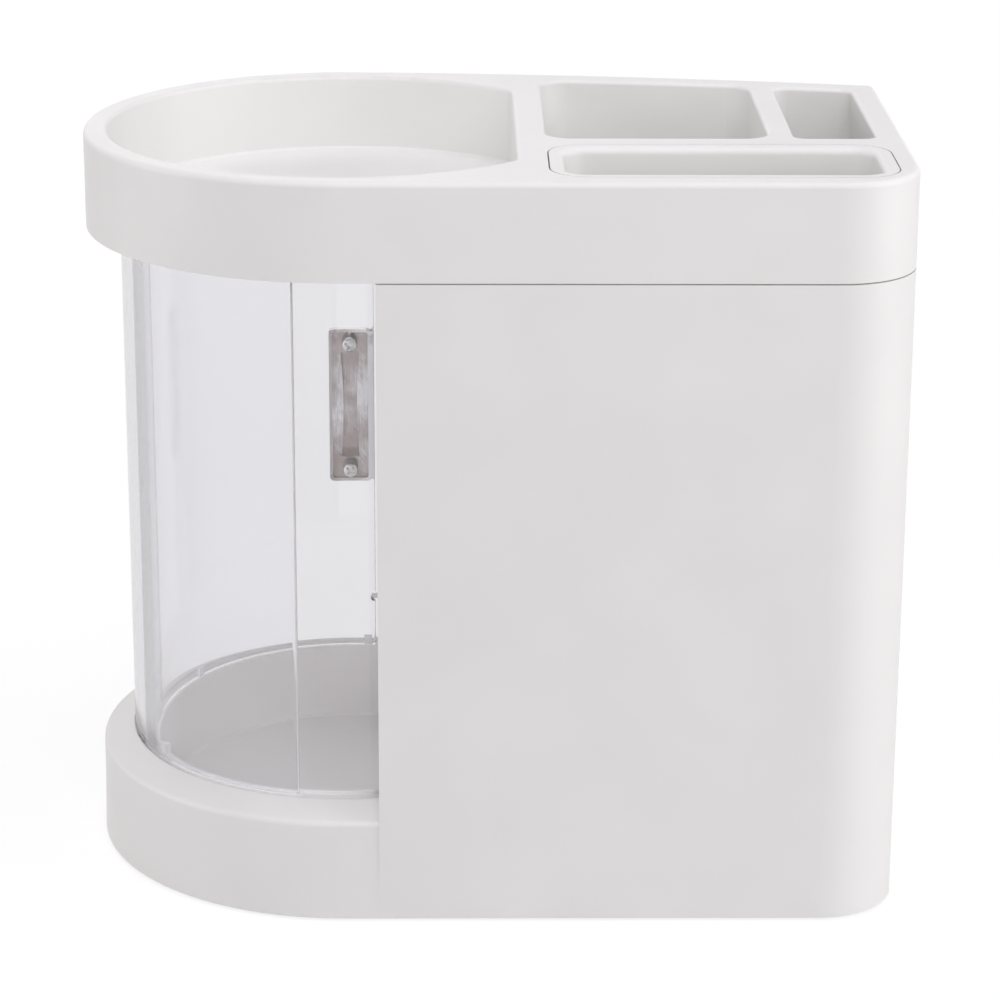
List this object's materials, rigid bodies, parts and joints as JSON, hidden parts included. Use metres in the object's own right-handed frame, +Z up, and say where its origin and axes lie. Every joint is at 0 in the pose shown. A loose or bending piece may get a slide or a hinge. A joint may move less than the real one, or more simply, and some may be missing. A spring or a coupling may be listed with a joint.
{
  "type": "makeup organizer with drawer",
  "caption": "White D-shaped vanity organizer: clear revolving door, drawers with metal pulls, round tray, deep wells and a lift-out box on top.",
  "frame": {"origin": "under the middle of the plan outline, on the surface the feet stand on", "axes": "+X to the straight right side seen from the rear, +Y to the front with the drawers, +Z up"},
  "size_m": [0.28, 0.178, 0.2595],
  "materials": {
    "white_abs": "satin moulded white ABS",
    "clear_polystyrene": "polished clear polystyrene",
    "satin_zinc": "satin plated zinc casting",
    "screw_steel": "bright plated steel",
    "rubber": "soft grey rubber"
  },
  "bodies": {
    "cabinet": {"housing": "white_abs", "partition": "white_abs", "drawer_shelf": "white_abs", "top_tray": "white_abs", "tray_screws": "screw_steel", "rear_window": "clear_polystyrene", "catch_pin": "white_abs", "drawer_bumpers": "rubber", "feet": "rubber"},
    "door": {"revolving_door": "clear_polystyrene", "door_guide_feet": "clear_polystyrene", "door_handle": "satin_zinc", "door_handle_screws": "screw_steel"},
    "lower_drawer": {"lower_drawer_box": "white_abs", "lower_drawer_front": "white_abs", "lower_drawer_handle": "satin_zinc", "lower_handle_screws": "screw_steel"},
    "upper_drawer": {"upper_drawer_box": "white_abs", "upper_drawer_front": "white_abs", "upper_drawer_handle": "satin_zinc", "upper_handle_screws": "screw_steel"},
    "insert": {"insert_box": "white_abs"}
  },
  "joints": [
    {"name": "door_turn", "type": "hinge", "parent": "cabinet", "child": "door", "pos_m": [-0.051, 0, 0.13], "axis": [0, 0, 1], "range_deg": [0, 70]},
    {"name": "lower_drawer_slide", "type": "slide", "parent": "cabinet", "child": "lower_drawer", "axis": [0, 1, 0], "range_m": [0, 0.11]},
    {"name": "upper_drawer_slide", "type": "slide", "parent": "cabinet", "child": "upper_drawer", "axis": [0, 1, 0], "range_m": [0, 0.11]},
    {"name": "insert_lift", "type": "slide", "parent": "cabinet", "child": "insert", "axis": [0, 0, 1], "range_m": [0, 0.06]}
  ]
}
